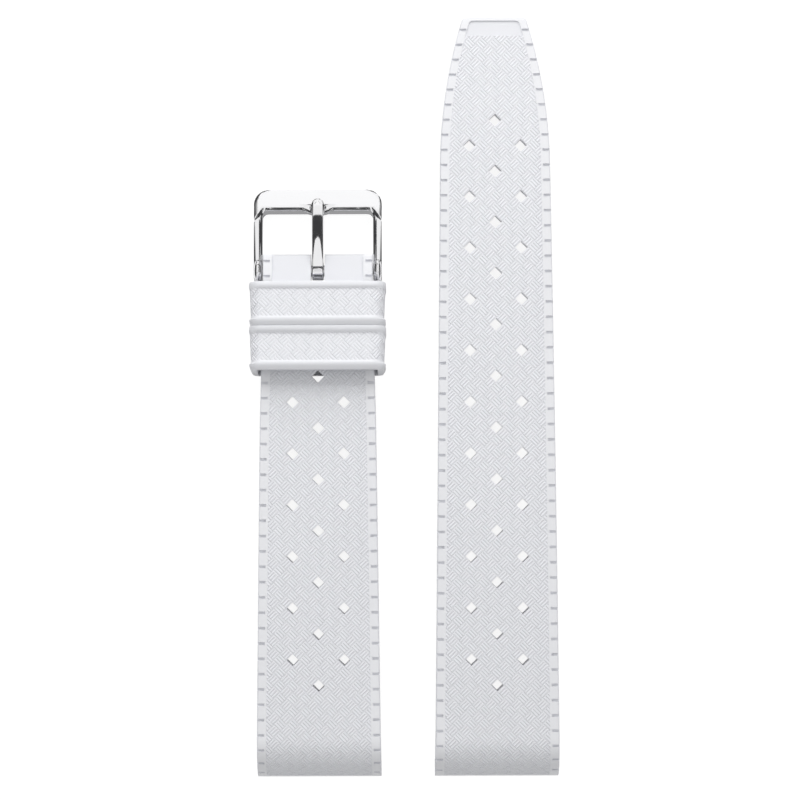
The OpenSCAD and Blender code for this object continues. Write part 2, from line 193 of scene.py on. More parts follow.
camera_height = 0.4
view_width = 0.13014
bpy.ops.object.camera_add(location=(-0.00063, -0.00051, camera_height), rotation=(0, 0, math.radians(-0.2)))
camera = bpy.context.active_object
camera.data.sensor_width = 36
camera.data.lens = camera.data.sensor_width / 2 / (view_width / 2 / camera_height)
scene.camera = camera

# ---- the two rubber halves ----
# Each half is one compression moulding in white silicone: a thick turned-down end with the lug bore, a plain border
# with edge notches, and a sunk field of woven diamonds that the holes are punched through.
MM = 0.001
lug_w = 20.0
end_w = 17.7
nose_r = 1.9
lug_bore_r = 0.95
hump_r = 7.0
hump_top = 7.0
hump_t = 3.4
heel_slope = math.radians(36)
border_w = 1.5
field_near = -1.2
field_depth = 0.12
plain_depth = 0.2
notch_pitch = 2.45
notch_w = 0.45
notch_len = 1.15
notch_depth = 0.35
notch_end = 0.7
first_hole = 15.15
hole_pitch = 8.25
hole_across = 2.0
edge_round = 0.22
slab_t = 3.0
skin = 1.0
lug_y = -61.35
weld = 0.002
rubber_angle = 28


def grain(wire, scale, detail, stretch=None):
    """Noise fixed to the piece. Stretched, it turns into lines across the axis with the largest number."""
    place = wire.node("TexCoord", output="Object")
    if stretch:
        place = wire.node("Mapping", values={"Vector": place, "Scale": stretch})
    return wire.node("TexNoise", values={"Vector": place, "Scale": scale, "Detail": detail})


def two_tone(marks, shader, dark, light):
    """Lets a grain lead the colour from one tone to the other."""
    link(marks.node("Mix", {"data_type": "RGBA"}, {0: marks, 6: dark, 7: light}, 2), shader, "Base Color")


def emboss(marks, shader, strength, distance):
    """Lets a grain stand up from the surface."""
    link(marks.node("Bump", values={"Height": marks, "Strength": strength, "Distance": distance}), shader, "Normal")


def silicone_paint(name, dim, bright, matt):
    """White silicone, a little uneven in tone, with the fine grain that the mould leaves."""
    material, wire, shader = new_material(name)
    two_tone(grain(wire, 70.0, 3.0), shader, dim, bright)
    fine = grain(wire, 3200.0, 2.0)
    link(fine * 0.16 + matt, shader, "Roughness")
    emboss(fine, shader, 0.25, 0.00002)
    return material


silicone = silicone_paint("white_silicone", (0.815, 0.822, 0.855, 1), (0.845, 0.852, 0.884, 1), 0.4)
# The smooth untouched faces get a copy of the same silicone that is glossier, and paler as painted light
smooth_painted_light_silicone = silicone_paint("smooth_painted_light_silicone", (0.865, 0.87, 0.895, 1), (0.89, 0.895, 0.92, 1), 0.3)


def only(piece):
    """Selects one object and nothing else."""
    bpy.ops.object.select_all(action="DESELECT")
    piece.select_set(True)
    bpy.context.view_layer.objects.active = piece


def settle(piece):
    """Applies an object's place, turn and size to its points."""
    only(piece)
    bpy.ops.object.transform_apply(location=True, rotation=True, scale=True)


def named(name):
    """Names the primitive that was just added, and settles it."""
    piece = bpy.context.active_object
    piece.name = name
    settle(piece)
    return piece


def box(name, place, size, turn=(0, 0, 0)):
    """A block, given by its middle and its size."""
    bpy.ops.mesh.primitive_cube_add(size=1, location=place, rotation=turn, scale=size)
    return named(name)


def rod(name, r, length, place, turn=(0, math.pi / 2, 0), sides=48):
    """A round bar, which lies across the strap unless it is turned."""
    bpy.ops.mesh.primitive_cylinder_add(vertices=sides, radius=r, depth=length, location=place, rotation=turn)
    return named(name)


def at(value, place, slack=0.01):
    """Whether a measure is at a place, give or take a hundredth of a millimetre."""
    return abs(value - place) < slack


def pick(kind, test):
    """In edit mode, selects the vertices, edges or faces that pass a test, and nothing else."""
    bpy.ops.mesh.select_all(action="DESELECT")
    shape = bmesh.from_edit_mesh(bpy.context.edit_object.data)
    for item in getattr(shape, kind):
        if test(item):
            item.select_set(True)
    shape.select_flush_mode()
    bmesh.update_edit_mesh(bpy.context.edit_object.data)


def drop_faces(piece, test, kind="ONLY_FACE"):
    """Deletes the faces that pass a test."""
    only(piece)
    bpy.ops.object.mode_set(mode="EDIT")
    bpy.ops.mesh.select_mode(type="FACE")
    pick("faces", test)
    bpy.ops.mesh.delete(type=kind)
    bpy.ops.object.mode_set(mode="OBJECT")


def join(pieces):
    """Makes one object of several, named as the first."""
    only(pieces[0])
    for piece in pieces:
        piece.select_set(True)
    bpy.ops.object.join()
    return pieces[0]


def carve(piece, cutter, operation="DIFFERENCE"):
    """Cuts one closed mesh with another, which is used up."""
    only(piece)
    cut = piece.modifiers.new("cut", "BOOLEAN")
    cut.object = cutter
    cut.operation = operation
    cut.solver = "MANIFOLD"
    bpy.ops.object.modifier_apply(modifier=cut.name)
    bpy.data.objects.remove(cutter)


def repeat(piece, count, step):
    """Repeats a mesh along a line."""
    only(piece)
    row = piece.modifiers.new("row", "ARRAY")
    row.count = count
    row.use_relative_offset = False
    row.use_constant_offset = True
    row.constant_offset_displace = step
    bpy.ops.object.modifier_apply(modifier=row.name)


def prism(name, right, low, high):
    """A block cut to an outline that is given by its right-hand side, from the near end to the far end. Where the
    outline turns inwards, the block is put together from two."""
    for k, (a, b, c) in enumerate(zip(right, right[1:], right[2:]), 1):
        if (b[0] - a[0]) * (c[1] - b[1]) < (b[1] - a[1]) * (c[0] - b[0]):
            block = prism(name, right[:k + 1], low, high)
            carve(block, prism("rest", [(b[0], b[1] - 1)] + list(right[k + 1:]), low, high), "UNION")
            bpy.ops.object.mode_set(mode="EDIT")
            bpy.ops.mesh.select_all(action="SELECT")
            bpy.ops.mesh.dissolve_limited(angle_limit=0.001)
            bpy.ops.object.mode_set(mode="OBJECT")
            return block
    outline = list(right) + [(-x, y) for x, y in reversed(right)]
    half = max(x for x, y in right) + 1
    near, far = right[0][1] - 1, right[-1][1] + 1
    block = box(name, (0, (near + far) / 2, (low + high) / 2), (2 * half, far - near, high - low))
    bpy.ops.object.mode_set(mode="EDIT")
    for start, end in zip(outline, outline[1:] + outline[:1]):
        bpy.ops.mesh.select_all(action="SELECT")
        outward = Vector((end[1] - start[1], start[0] - end[0], 0)).normalized()
        bpy.ops.mesh.bisect(plane_co=(*start, 0), plane_no=outward, use_fill=True, clear_outer=True)
    bpy.ops.object.mode_set(mode="OBJECT")
    return block


def cut_rows(piece, rows, axis):
    """Adds edges across a mesh, so that it can bend there."""
    only(piece)
    bpy.ops.object.mode_set(mode="EDIT")
    for row in rows:
        bpy.ops.mesh.select_all(action="SELECT")
        bpy.ops.mesh.bisect(plane_co=[row * n for n in axis], plane_no=axis)
    bpy.ops.object.mode_set(mode="OBJECT")


def weave_block(name, cell, across, rows, centre_y, level, top):
    """A block whose underside is the woven pattern, to press it into a face. One diamond holds three ribs, and
    the next row's ribs run the other way."""
    side = cell / math.sqrt(2)
    groove = 0.035
    rib_h = 0.118
    valley_h = 0.02
    ribs = 3
    rib_end = 0.465
    pad = side - 2 * groove
    bpy.ops.mesh.primitive_plane_add(size=side)
    diamond = named(name)
    bpy.ops.object.mode_set(mode="EDIT")
    bpy.ops.mesh.select_mode(type="FACE")
    bpy.ops.mesh.inset(thickness=groove, depth=0)
    lines = [k / (2 * ribs) - 0.5 for k in range(1, 2 * ribs)]
    for axis, places in ((0, lines), (1, (-rib_end, rib_end))):
        for place in places:
            pick("faces", lambda face: max(map(abs, face.calc_center_median())) < pad / 2)
            point = [0, 0, 0]
            point[axis] = place * pad
            bpy.ops.mesh.bisect(plane_co=point, plane_no=[int(n == axis) for n in range(3)])
    bpy.ops.mesh.select_mode(type="VERT")
    for line, place in enumerate(lines):
        pick("verts", lambda point: at(point.co.x, place * pad) and abs(point.co.y) < 0.49 * pad)
        bpy.ops.transform.translate(value=(0, 0, valley_h if line % 2 else rib_h))
    bpy.ops.object.mode_set(mode="OBJECT")
    diamond.rotation_euler.z = math.radians(45)
    settle(diamond)
    bpy.ops.object.duplicate()
    other = bpy.context.active_object
    other.rotation_euler.z = math.radians(90)
    other.location = (cell / 2, cell / 2, 0)
    settle(other)
    join([diamond, other])
    repeat(diamond, across, (cell, 0, 0))
    repeat(diamond, rows, (0, cell, 0))
    diamond.location = (-cell * (across // 2), centre_y - cell * (rows // 2), level)
    settle(diamond)
    bpy.ops.object.mode_set(mode="EDIT")
    bpy.ops.mesh.select_all(action="SELECT")
    bpy.ops.mesh.remove_doubles(threshold=weld)
    bpy.ops.mesh.extrude_region_move(TRANSFORM_OT_translate={"value": (0, 0, top - level)})
    bpy.ops.transform.resize(value=(1, 1, 0), center_override=(0, 0, top))
    bpy.ops.mesh.select_all(action="SELECT")
    bpy.ops.mesh.normals_make_consistent(inside=False)
    bpy.ops.object.mode_set(mode="OBJECT")
    return diamond


def along(points, share):
    """The point at a share of the way along a line of points."""
    lengths = [math.dist(a, b) for a, b in zip(points, points[1:])]
    left = share * sum(lengths)
    for a, b, length in zip(points, points[1:], lengths):
        if left <= length:
            return [p + (q - p) * left / length for p, q in zip(a, b)]
        left -= length
    return list(points[-1])


def arc(centre, r, start, end, steps):
    """Points on an arc, from and to angles from the vertical, positive towards the far end."""
    angles = [start + (end - start) * i / steps for i in range(steps + 1)]
    return [(centre[0] + r * math.sin(a), centre[1] + r * math.cos(a)) for a in angles]


# The turned-down end is the same on both halves: the hump, then the nose round the lug bore, and the heel below.
# v runs along the face of the flat slab; s and z are the place and height that it comes to
hump_s = nose_r + math.sqrt((hump_r - nose_r) ** 2 - nose_r ** 2)
meet_a = math.atan2(hump_s - nose_r, nose_r)
meet_v = hump_s - hump_r * meet_a
nose_v = meet_v - nose_r * (math.pi / 2 - meet_a)
heel_z = hump_top - hump_t
heel_foot = nose_r * (1 + math.sin(heel_slope))
heel_s = heel_foot + (heel_z - nose_r * (1 - math.cos(heel_slope))) / math.tan(heel_slope)


def turned_end(v):
    """Place and lean of the top face on the turned-down end."""
    if v < meet_v:
        lean = -meet_a - (meet_v - v) / nose_r
        return nose_r + nose_r * math.sin(lean), nose_r + nose_r * math.cos(lean), lean
    lean = -(hump_s - v) / hump_r
    return hump_s + hump_r * math.sin(lean), hump_top - hump_r + hump_r * math.cos(lean), lean


class Side:
    """Side shape of a half: the turned-down end, one long arch, and what follows it at the far end. There a straight
    has its start, height and fall; a dip has its start, radius and last lean, and the radius and place of its edge."""

    def __init__(self, rise, far_v, far_z, far_t, straight=None, dip=None, last_v=None):
        self.rise = rise
        start = turned_end(hump_s - hump_r * rise)
        drop = math.atan2(start[1] - far_z, far_v - start[0])
        self.r = math.dist(start[:2], (far_v, far_z)) / (2 * math.sin(rise + drop))
        self.centre = (start[0] + self.r * math.sin(rise), start[1] - self.r * math.cos(rise))
        self.arch_from, self.arch_to, self.far_t = start[0], far_v, far_t
        self.straight, self.dip = straight, dip
        self.last_v = last_v or far_v
        heel_v = heel_s + 1
        self.heel = (nose_v, heel_v, arc((nose_r, nose_r), nose_r, -math.pi / 2, -math.pi - heel_slope, 20)
                     + [(heel_s, heel_z), self.under(heel_v)])
        self.foot = None
        if dip:
            line = [self.under(foot_s), (foot_s + foot_len, end_c[1] - end_r)]
            self.foot = (foot_s, self.last_v, line + arc(end_c, end_r, math.pi, math.pi / 2, 12))

    def top(self, v):
        """Place and lean of the top face."""
        if v < self.arch_from:
            return turned_end(v)
        if self.dip and v > self.dip[0]:
            start, r, lean, edge_r, edge_v = self.dip
            s, z, fall = self.straight
            z -= (start - s) * math.tan(fall)
            bend_end = start + r * (math.sin(lean) - math.sin(fall))
            if v < bend_end:
                lean = math.asin(math.sin(fall) + (v - start) / r)
                return v, z - r * (math.cos(fall) - math.cos(lean)), lean
            z -= r * (math.cos(fall) - math.cos(lean))
            if v < edge_v:
                return v, z - (v - bend_end) * math.tan(lean), lean
            z -= (edge_v - bend_end) * math.tan(lean)
            turned = lean + (v - edge_v) / edge_r
            return (edge_v + edge_r * (math.sin(turned) - math.sin(lean)),
                    z - edge_r * (math.cos(lean) - math.cos(turned)), turned)
        if self.straight and v > self.arch_to:
            s, z, fall = self.straight
            return v, z - (v - s) * math.tan(fall), fall
        lean = math.asin((v - self.centre[0]) / self.r)
        return v, self.centre[1] + self.r * math.cos(lean), lean

    def under(self, v):
        """The underside along the arch, where the half thins evenly."""
        share = min(1, (v - heel_s) / (self.arch_to - heel_s))
        s, z, lean = self.top(v)
        return s, z - hump_t - (self.far_t - hump_t) * share

    def bottom(self, v):
        """The underside, with the heel and the foot."""
        for start, end, line in filter(None, (self.heel, self.foot)):
            if start <= v <= end:
                return along(line, (v - start) / (end - start))
        return self.under(v)

    def point(self, v, h):
        """Where a point of the flat slab comes to lie: v along its face, h above it."""
        v = min(max(v, nose_v), self.last_v)
        s, z, lean = self.top(v)
        low = self.bottom(v)
        depth = min(-h, skin, 0.45 * math.dist((s, z), low))
        inner = (s - depth * math.sin(lean), z - depth * math.cos(lean))
        share = max(0, (-h - skin) / (slab_t - skin))
        return [a + (b - a) * share for a, b in zip(inner, low)]


def strap_half(name, side, right_of, far_v, holes, field_far, weave_far, first_notch, x):
    """Models a half flat, presses the pattern in, and bends it to its side shape."""
    slab = prism(name, right_of(0), -slab_t, 0)
    bpy.ops.object.mode_set(mode="EDIT")
    bpy.ops.mesh.select_mode(type="EDGE")
    pick("edges", lambda edge: at(edge.verts[0].co.z, edge.verts[1].co.z)
         and not all(at(point.co.y, nose_v) for point in edge.verts))
    bpy.ops.mesh.bevel(offset=edge_round, segments=3, affect="EDGES")
    bpy.ops.object.mode_set(mode="OBJECT")
    # Rows to bend at, closer where the curve is tighter
    rows = [nose_v + (hump_s - nose_v) * i / 24 for i in range(1, 25)]
    rows += [hump_s + (far_v - hump_s) * i / 60 for i in range(1, 60)]
    if side.dip:
        rows += [side.dip[0] + side.dip[1] * 0.12 * i / 8 for i in range(9)]
        rows += [far_v + (right_of(0)[-1][1] - far_v) * i / 6 for i in range(6)]
    cut_rows(slab, rows, (0, 1, 0))

    # The field: woven diamonds, a quarter as long as the pitch of the holes, and the plain part at its far end
    cell = hole_pitch / 4
    weave_rows = 2 * math.ceil(far_v / cell / 2 + 3)
    middle = first_hole + cell * math.ceil((far_v / 2 - first_hole) / cell)
    weave = weave_block("weave", cell, 11, weave_rows, middle, -field_depth, 1)
    stretch = field_far / right_of(border_w)[-1][1]
    field = [(px, max(field_near, py * stretch)) for px, py in right_of(border_w)]
    carve(weave, box("plain_part", (0, weave_far + 50, 0), (99, 100, 9)))
    carve(weave, prism("field", field, -0.5, 0.6), "INTERSECT")
    carve(slab, weave)
    if weave_far < field_far:
        plain = prism("plain_field", field, -plain_depth, 1)
        carve(plain, box("woven_part", (0, weave_far - 100.02, 0), (99, 200, 9)))
        carve(slab, plain)

    punches = []
    for column, count in ((0, holes), (-1, holes - 1), (1, holes - 1)):
        start = first_hole + (hole_pitch / 2 if column else 0)
        punch = rod("punch", hole_across / 2, 4 * slab_t, (column * hole_pitch / 2, start, 0), (0, 0, 0), 4)
        repeat(punch, count, (0, hole_pitch, 0))
        punches.append(punch)
    carve(slab, join(punches))

    bars = box("notches", (0, first_notch, 0), (2 * lug_w, notch_w, 2 * notch_depth))
    repeat(bars, 1 + int((far_v - notch_end - first_notch) / notch_pitch), (0, notch_pitch, 0))
    carve(bars, prism("inside", right_of(notch_len), -1, 1))
    carve(slab, bars)

    # Faces on the untouched top are the smooth ones: their paint is glossier, and its paler tone is painted light for
    # the brighter look of those faces. The open near end closes when the nose is bent round
    drop_faces(slab, lambda face: all(at(point.co.y, nose_v, 0.001) for point in face.verts))
    height = [point.co.z for point in slab.data.vertices]
    for face in slab.data.polygons:
        face.material_index = int(all(at(height[i], 0, 0.001) for i in face.vertices))
    for point in slab.data.vertices:
        s, z = side.point(point.co.y, min(0, point.co.z))
        point.co = (point.co.x + x, s + lug_y, z)
    bpy.ops.object.mode_set(mode="EDIT")
    bpy.ops.mesh.select_all(action="SELECT")
    bpy.ops.mesh.remove_doubles(threshold=weld)
    bpy.ops.object.mode_set(mode="OBJECT")
    carve(slab, rod("lug_bore", lug_bore_r, 3 * lug_w, (x, lug_y + nose_r, nose_r)))
    return slab


def finish_piece(piece, materials, body, slot, angle, *nodes):
    """Brings a piece from millimetres to metres, and gives it its finish and its body."""
    piece.scale = (MM, MM, MM)
    settle(piece)
    bpy.ops.object.shade_smooth_by_angle(angle=math.radians(angle))
    kinds = [face.material_index for face in piece.data.polygons]
    piece.data.materials.clear()
    for material in materials:
        piece.data.materials.append(material)
    for face, kind in zip(piece.data.polygons, kinds):
        face.material_index = min(kind, len(materials) - 1)
    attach(piece, body)
    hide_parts(*nodes)


# The tail half: twelve holes in its middle row, and a blunt tip with a plain part before its lip
tail_len = 122.7
tail_x = 14.8
tail_rise = math.radians(2.5)
tip_t = 2.3
tip_w = 10.2
tip_taper = 25.0
tip_corner = 0.8
tip_lip = 0.55
plain_len = 3.0
tip_in = (end_w - tip_w) / 2
tip_r = (tip_taper ** 2 + tip_in ** 2) / (2 * tip_in)


def tail_right(inset):
    """Right-hand outline of the tail half, which curves in to its blunt end."""
    reach = tip_r - inset - tip_corner
    turn = math.asin((tip_taper - inset - tip_corner) / reach)
    centre = (end_w / 2 - tip_r, tail_len - tip_taper)
    corner = (centre[0] + reach * math.cos(turn), centre[1] + reach * math.sin(turn))
    turns = [turn * i / 16 for i in range(17)]
    curve = [(centre[0] + (tip_r - inset) * math.cos(a), centre[1] + (tip_r - inset) * math.sin(a)) for a in turns]
    bend = [turn + (math.pi / 2 - turn) * i / 5 for i in range(1, 6)]
    curve += [(corner[0] + tip_corner * math.cos(a), corner[1] + tip_corner * math.sin(a)) for a in bend]
    return [(lug_w / 2 - inset, nose_v)] + curve


tail = strap_half("tail_rubber", Side(tail_rise, tail_len, tip_t, tip_t), tail_right, tail_len, holes=12,
                  field_far=tail_len - tip_lip, weave_far=tail_len - plain_len, first_notch=0.55, x=tail_x)
finish_piece(tail, (silicone, smooth_painted_light_silicone), "tail_half", "strap_rubber", rubber_angle, "tail_strap")

# The buckle half dips at its end, is round below about the spring bar, and is slotted there for the tongue
short_x = -13.8
short_len = 84.4
short_rise = math.radians(1)
short_t = 2.7
arch_end = (60.7107, 6.10018)
neck = (9.31, 57)
parallel_v = 75
bar_s = 81.7
bar_y = lug_y + bar_s
bar_z = 2.99888
bar_bore_r = 0.93
fall = math.radians(2.9)
dip_v = 79.4
dip_r = 12.0
foot_s = 79.8
foot_len = 1.3
end_r = 2.0
end_c = (short_len - end_r, bar_z)
end_fall = math.radians(14)
end_edge = 0.45
end_v = short_len - end_edge * (1 - math.sin(end_fall))
last_v = end_v + end_edge * (math.pi / 2 - end_fall)
slot_half = 1.1
slot_back = 4.8


def short_right(inset):
    """Right-hand outline of the buckle half, parallel where the buckle straddles it."""
    return [(lug_w / 2 - inset, nose_v), (neck[0] - inset, neck[1]), (end_w / 2 - inset, parallel_v),
            (end_w / 2 - inset, last_v)]


short_side = Side(short_rise, *arch_end, short_t, (*arch_end, fall), (dip_v, dip_r, end_fall, end_edge, end_v), last_v)
short = strap_half("buckle_rubber", short_side, short_right, end_v, holes=7, field_far=last_v + 0.5,
                   weave_far=end_v - 4.0, first_notch=-0.05, x=short_x)
carve(short, rod("bar_bore", bar_bore_r, 3 * lug_w, (short_x, bar_y, bar_z)))
carve(short, box("tongue_slot", (short_x, bar_y - slot_back + 5, 0), (2 * slot_half, 10, 30)))
finish_piece(short, (silicone, smooth_painted_light_silicone), "buckle_half", "strap_rubber", rubber_angle, "buckle_strap")

# ---- the two keepers ----
# Loops of the same silicone, moulded flat-sided with a rounded rim at each end, a row of beads inside each rim and
# the woven pattern between. They lean a little towards the buckle on the thinner strap.
keeper_len = 6.95
keeper_wall = 1.2
keeper_room = 4.8
keeper_w = end_w + 1.6 + 2 * keeper_wall
keeper_h = keeper_room + 2 * keeper_wall
keeper_corner = 1.6
keeper_gap = 0.1
# Rims, as places from an end and heights over the wall: the far ones stand up, the near ones are rolled over
rim_rows = ((0.0, 0.08), (0.1, 0.2), (0.3, 0.27), (0.6, 0.3), (0.85, 0.25), (1.05, 0.1), (1.15, 0.0))
roll_rows = ((-0.08, -0.36), (0.1, -0.22), (0.35, -0.06), (0.6, 0.08), (0.85, 0.15), (1.05, 0.13), (1.35, 0.0))
bead_r = 0.15
bead_count = 78
bead_row = 1.1
keeper_cells = 26
pull_in = 0.22
lower_lift = 0.3
lift_run = 1.2
rim_side = 0.45
keeper_tilt = math.radians(9.5)
keeper_lean = math.radians(6.6)
keeper_park = 2.5
keeper_floor = -2.00894
flat_w = keeper_w - 2 * keeper_corner
flat_half = keeper_w / 2 - keeper_corner
flat_side = keeper_h - 2 * keeper_corner
corner_run = keeper_corner * math.pi / 2
round_loop = 2 * (flat_side + flat_w) + 4 * corner_run


def clipped(value):
    """A share, kept between 0 and 1."""
    return min(1, max(0, value))


def loop_point(run, h):
    """A point on the keeper's outline, seen along the strap: run round it from under its middle, and h outwards."""
    x, z = 0.0, -keeper_h / 2
    turn = 0.0
    for length in (flat_half, flat_side, flat_w, flat_side, flat_half + 1):
        if run <= length:
            return x + run * math.cos(turn) + h * math.sin(turn), z + run * math.sin(turn) - h * math.cos(turn)
        x, z, run = x + length * math.cos(turn), z + length * math.sin(turn), run - length
        centre = (x - keeper_corner * math.sin(turn), z + keeper_corner * math.cos(turn))
        share = min(1.0, run / corner_run)
        end = turn + share * math.pi / 2
        x, z = centre[0] + keeper_corner * math.sin(end), centre[1] - keeper_corner * math.cos(end)
        if share < 1:
            return x + h * math.sin(end), z - h * math.cos(end)
        turn, run = end, run - corner_run


# Flat, the wall lies unrolled from under its middle, with the far end at 0
keeper_near = keeper_len - roll_rows[0][0]
keeper = box("upper_loop", (round_loop / 2, keeper_near / 2, -keeper_wall / 2), (round_loop, keeper_near, keeper_wall))
bends, run = [], 0
for length in (flat_half, flat_side, flat_w, flat_side):
    bends += [run + length + corner_run * i / 8 for i in range(9)]
    run += length + corner_run
cut_rows(keeper, bends, (1, 0, 0))
field_rows = [1.5, 2.2, 3.0, keeper_len / 2, keeper_len - 3, keeper_len - 2.2, keeper_len - 1.5]
rims = list(rim_rows) + [(keeper_len - y, h) for y, h in roll_rows]
cut_rows(keeper, [y for y, h in rims if 0 < y < keeper_near] + field_rows, (0, 1, 0))
bpy.ops.object.mode_set(mode="EDIT")
bpy.ops.mesh.select_mode(type="VERT")
for y, h in rims:
    pick("verts", lambda point: at(point.co.y, y) and point.co.z > -0.01)
    bpy.ops.transform.translate(value=(0, 0, h))
bpy.ops.object.mode_set(mode="OBJECT")

keeper_cell = round_loop / keeper_cells
weave = weave_block("keeper_weave", keeper_cell, keeper_cells + 4, 6, keeper_len / 2, -0.09, 1)
weave.location.x = keeper_cell * (keeper_cells // 2 + 1)
settle(weave)
field = box("keeper_field", (round_loop / 2, keeper_len / 2 - 0.08, 0), (round_loop + 1, keeper_len - 2.56, 1))
carve(weave, field, "INTERSECT")
carve(keeper, weave)
bead_pitch = round_loop / bead_count
bpy.ops.mesh.primitive_uv_sphere_add(segments=8, ring_count=6, radius=bead_r,
                                     location=(bead_pitch / 2, bead_row, -0.03))
beads = named("beads")
repeat(beads, bead_count, (bead_pitch, 0, 0))
repeat(beads, 2, (0, keeper_len - 2 * bead_row, 0))
carve(keeper, beads, "UNION")
for end in (0, round_loop):
    drop_faces(keeper, lambda face: all(at(point.co.x, end, 0.001) for point in face.verts))
# The wall is rolled up: the rims are lower beside and below, and the sides draw in towards the near end
for point in keeper.data.vertices:
    run, y, h = point.co
    x, z = loop_point(run, 0)
    beside = clipped((abs(x) - keeper_w / 2 + keeper_corner) / (keeper_corner / 2))
    x, z = loop_point(run, h * (1 - (1 - rim_side) * (beside if z > 0 else 1)) if h > 0 else h)
    waist = (y - 1) / (keeper_len - 2) if 1 < y < keeper_len - 1 else 0
    x -= math.copysign(pull_in * waist * beside, x)
    point.co = (x, -y, z)
bpy.ops.object.mode_set(mode="EDIT")
bpy.ops.mesh.select_all(action="SELECT")
bpy.ops.mesh.remove_doubles(threshold=weld)
bpy.ops.mesh.delete_loose()
bpy.ops.object.mode_set(mode="OBJECT")
bpy.ops.object.duplicate()
lower = bpy.context.active_object
lower.name = "lower_loop"
for piece, back, node in ((keeper, 0, "upper_keeper"), (lower, keeper_len + keeper_gap, "lower_keeper")):
    for point in piece.data.vertices:
        y = point.co.y - keeper_park - back
        z = point.co.z + keeper_floor + keeper_room / 2 - back * math.tan(keeper_lean)
        if back and point.co.z > keeper_room / 2:
            z += lower_lift * max(0, 1 + point.co.y / lift_run)
        point.co.x += short_x
        point.co.y = bar_y + y * math.cos(keeper_tilt) + z * math.sin(keeper_tilt)
        point.co.z = bar_z - y * math.sin(keeper_tilt) + z * math.cos(keeper_tilt)
    finish_piece(piece, (silicone,), node, "keeper_rubber", rubber_angle, node)

# ---- the buckle's frame ----
# Cast stainless steel, bowed to the wrist and mirror polished, with soft edges. A round lug at the end of each arm is
# drilled for the spring bar, and a hollow in the front bar takes the tongue's tip.
frame_t = 2.2
frame_in = 8.95
arm_w = 1.35
frame_out = frame_in + arm_w
frame_reach = 13.25
window_reach = 9.85
bow_r = 24.0
bow_c = (2.5697, -20.8631)
bow_start = -math.atan2(bow_c[0], bar_z - bow_c[1])
front_v, bar_v = [bow_r * (math.asin((reach - bow_c[0]) / (bow_r + frame_t / 2)) - bow_start)
                  for reach in (frame_reach, window_reach)]
front_corner = 2.4
bar_tilt = math.radians(2.4)
window_corner = 0.9
swell_r = 5.2
swell = 0.58
swell_lean = math.radians(14)
lug_r = 2.0
lug_round = 0.6
pivot_bore_r = 0.56
arm_drop = 0.3
arm_mid = frame_in + arm_w / 2
step_y = 9.2
step_slant = (0.764, 0.645)
step_run = 0.45
step_in = 8.55
step_blend = 0.4
side_fall = 0.16
side_band = 1.0
edge_w = 0.55
edge_fall = 0.27
bar_fall = 0.06
steel_angle = 40
seat_a = math.radians(18.3)
seat_place = Vector((0, 10.575, 2.34466))
seat_r = 3.5
seat_rise = 0.27
seat_end = -0.4
trough_len = 6
groove_w = 1.9
groove_h = 2
groove_len = 5.1
groove_floor = 0.08


def steel_paint(name, noise, dark, light, least, spread):
    """Bare steel, uneven in tone and roughness along a noise. Returns its paint, its shader and the noise."""
    material, wire, shader = new_material(name)
    shader.inputs["Metallic"].default_value = 1
    marks = grain(wire, *noise)
    two_tone(marks, shader, dark, light)
    link(marks * spread + least, shader, "Roughness")
    return material, shader, marks


polish, shader, smear = steel_paint(
    "polished_steel", (260.0, 4.0), (0.82, 0.82, 0.83, 1), (0.87, 0.87, 0.88, 1), least=0.05, spread=0.08)
emboss(grain(smear, 1.0, 2.0, (900.0, 9000.0, 900.0)), shader, 0.03, 0.00001)


def soften(test, width, steps):
    """Rounds the chosen edges of the piece being edited."""
    bpy.ops.object.mode_set(mode="EDIT")
    bpy.ops.mesh.select_mode(type="EDGE")
    pick("edges", test)
    bpy.ops.mesh.bevel(offset=width, segments=steps, affect="EDGES")
    bpy.ops.object.mode_set(mode="OBJECT")


def flatten_edges(piece, half, width, fall, round_to=-99):
    """Makes the rounded edges of a plate shallow, so that they end at a crisp side. Up to the line round_to, the
    edges between the arms stay round."""
    arm_from, arm_blend = 8.0, 0.9
    for point in piece.data.vertices:
        depth = half - abs(point.co.z)
        amount = clipped((abs(point.co.x) - arm_from) / arm_blend) if point.co.y < round_to else 1
        if depth < width:
            flat = math.copysign(half - fall(point.co.y) * (1 - (1 - depth / width) ** 2), point.co.z)
            point.co.z += (flat - point.co.z) * amount


def level_edge(edge, height):
    """Whether an edge lies in the top or bottom face of a plate."""
    return all(at(abs(point.co.z), height) for point in edge.verts)


def bow(piece, centre, r, start):
    """Bends a flat plate, whose zero line has the given lean, round the centre of its bow."""
    for point in piece.data.vertices:
        lean, reach = start + point.co.y / r, r + point.co.z
        point.co.y = centre[0] + reach * math.sin(lean)
        point.co.z = centre[1] + reach * math.cos(lean)


def turned_disc(name, x, r, width, edge):
    """A round lug or eye across the strap, with softened edges."""
    disc = rod(name, r, width, (0, 0, 0), sides=64)
    soften(lambda side: all(at(abs(point.co.x), width / 2) for point in side.verts), edge, 3)
    disc.location = (x, 0, bar_z)
    settle(disc)
    return disc


